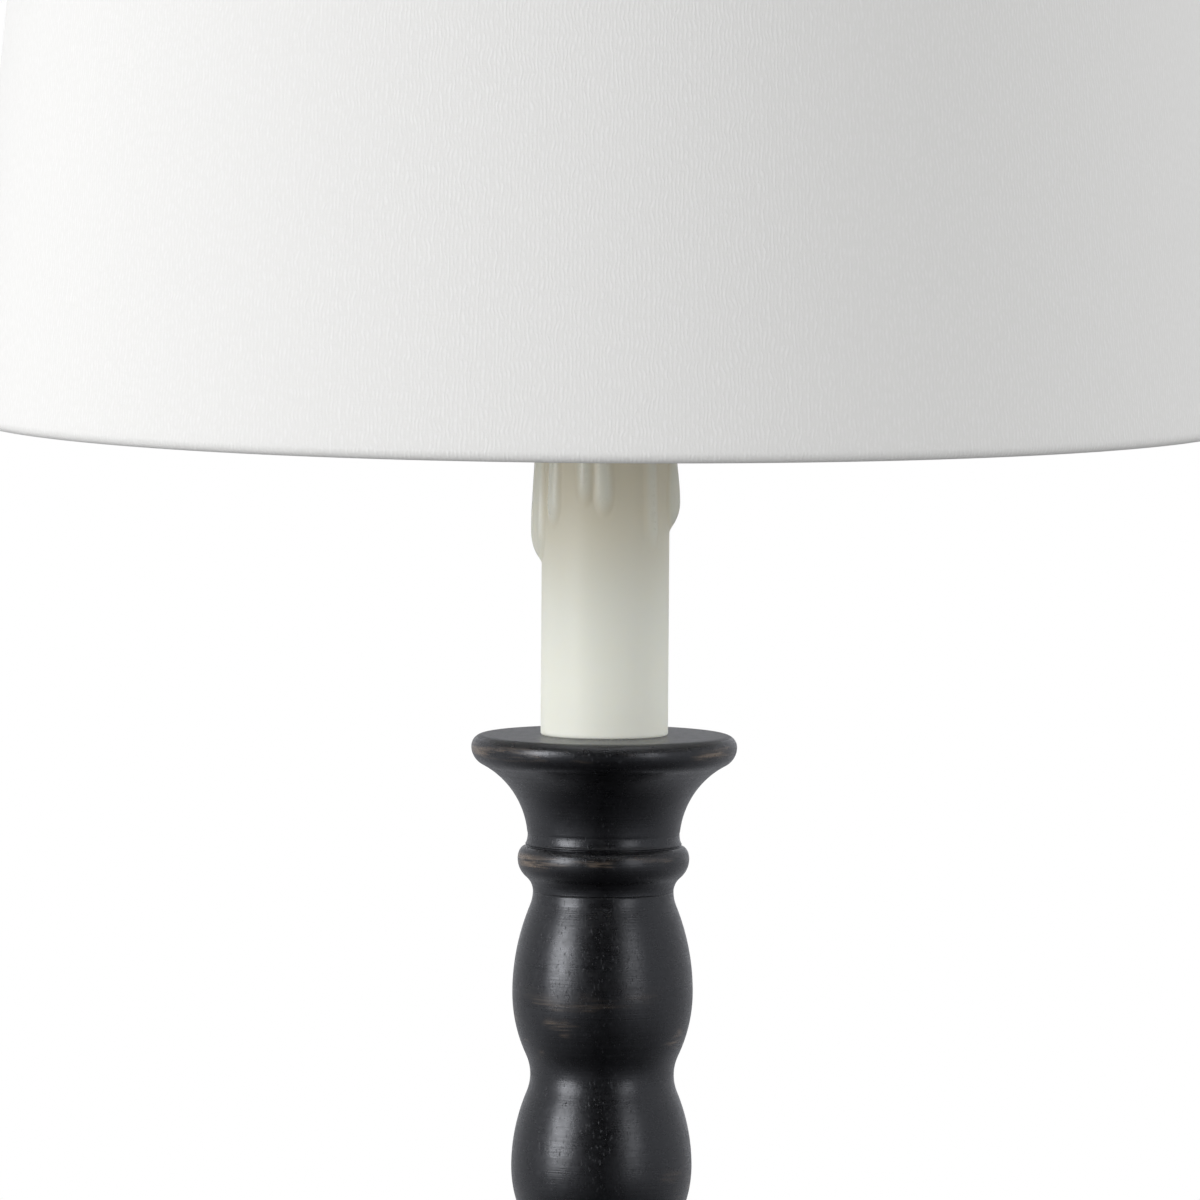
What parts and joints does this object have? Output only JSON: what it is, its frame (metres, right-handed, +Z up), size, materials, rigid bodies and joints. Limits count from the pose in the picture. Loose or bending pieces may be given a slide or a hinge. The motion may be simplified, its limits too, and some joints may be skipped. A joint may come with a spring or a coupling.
{
  "type": "buffet lamp",
  "caption": "Table lamp with a black turned bobbin column, a drip candle sleeve and a white tapered drum shade carried by a harp and finial.",
  "frame": {"origin": "centre of the felt under the base, on the table", "axes": "+Z up along the column; -Y is the front; the cord inlet is at the back (+Y) and the switch key points to +X"},
  "size_m": [0.355, 0.355, 0.8248],
  "materials": {
    "black_wood": "satin black paint on turned hardwood, rubbed through to brown on the high edges",
    "ivory_resin": "glossy ivory resin moulded as a candle with wax runs",
    "white_fabric": "white slub weave with fine upright threads",
    "white_styrene": "matt white sheet",
    "white_wire": "white paint on steel wire",
    "brass": "lacquered bright brass",
    "zinc_steel": "dull zinc-plated steel",
    "cast_iron": "rough black casting",
    "black_phenolic": "moulded black phenolic",
    "grey_fibre": "pressed grey fibre",
    "aluminium": "rolled bright aluminium",
    "opal_glass": "soft white inside coating",
    "black_glass": "glossy black insulator",
    "solder": "dull tin solder",
    "black_felt": "short black felt",
    "black_nylon": "black nylon"
  },
  "bodies": {
    "lamp": {"felt_pad": "black_felt", "plinth": "black_wood", "base_weight": "cast_iron", "base_washer": "zinc_steel", "base_nut": "zinc_steel", "cord_bushing": "black_nylon", "pedestal": "black_wood", "spindle": "black_wood", "candle_cup": "black_wood", "lamp_pipe": "zinc_steel", "cup_washer": "zinc_steel", "cup_nut": "zinc_steel", "candle_sleeve": "ivory_resin", "sleeve_cap": "brass", "harp_saddle": "brass", "socket_cap": "brass", "set_screw": "brass", "socket_shell": "brass", "socket_liner": "grey_fibre", "socket_body": "black_phenolic", "terminal_screws": "brass", "screw_shell": "aluminium", "centre_contact": "brass"},
    "switch": {"switch_shaft": "brass", "switch_key": "black_phenolic"},
    "bulb": {"bulb_glass": "opal_glass", "bulb_cap": "aluminium", "bulb_insulator": "black_glass", "bulb_contact": "solder"},
    "harp": {"harp_bow": "brass"},
    "front_ferrule": {"ferrule_front": "brass"},
    "rear_ferrule": {"ferrule_rear": "brass"},
    "stud": {"harp_stud": "brass"},
    "shade": {"shade_cover": "white_fabric", "shade_liner": "white_styrene", "shade_bottom_ring": "white_wire", "shade_top_ring": "white_wire", "spider_washer": "white_wire", "spider_arms": "white_wire"},
    "finial": {"finial_knob": "black_wood", "finial_insert": "brass"}
  },
  "joints": [
    {"name": "switch_turn", "type": "hinge", "parent": "lamp", "child": "switch", "pos_m": [0.02, 0, 0.6189], "axis": [1, 0, 0], "continuous": true},
    {"name": "bulb_turn", "type": "hinge", "parent": "lamp", "child": "bulb", "pos_m": [0, 0, 0.66], "axis": [0, 0, 1], "continuous": true},
    {"name": "harp_lift", "type": "slide", "parent": "lamp", "child": "harp", "axis": [0, 0, 1], "range_m": [0, 0.02]},
    {"name": "front_ferrule_slide", "type": "slide", "parent": "harp", "child": "front_ferrule", "axis": [0, 0, 1], "range_m": [0, 0.014]},
    {"name": "rear_ferrule_slide", "type": "slide", "parent": "harp", "child": "rear_ferrule", "axis": [0, 0, 1], "range_m": [0, 0.014]},
    {"name": "shade_turn", "type": "hinge", "parent": "harp", "child": "stud", "pos_m": [0, 0, 0.79], "axis": [0, 0, 1], "continuous": true},
    {"name": "shade_lift", "type": "slide", "parent": "stud", "child": "shade", "axis": [0, 0, 1], "range_m": [0, 0.28]},
    {"name": "finial_turn", "type": "hinge", "parent": "shade", "child": "finial", "pos_m": [0, 0, 0.8], "axis": [0, 0, 1], "continuous": true}
  ]
}
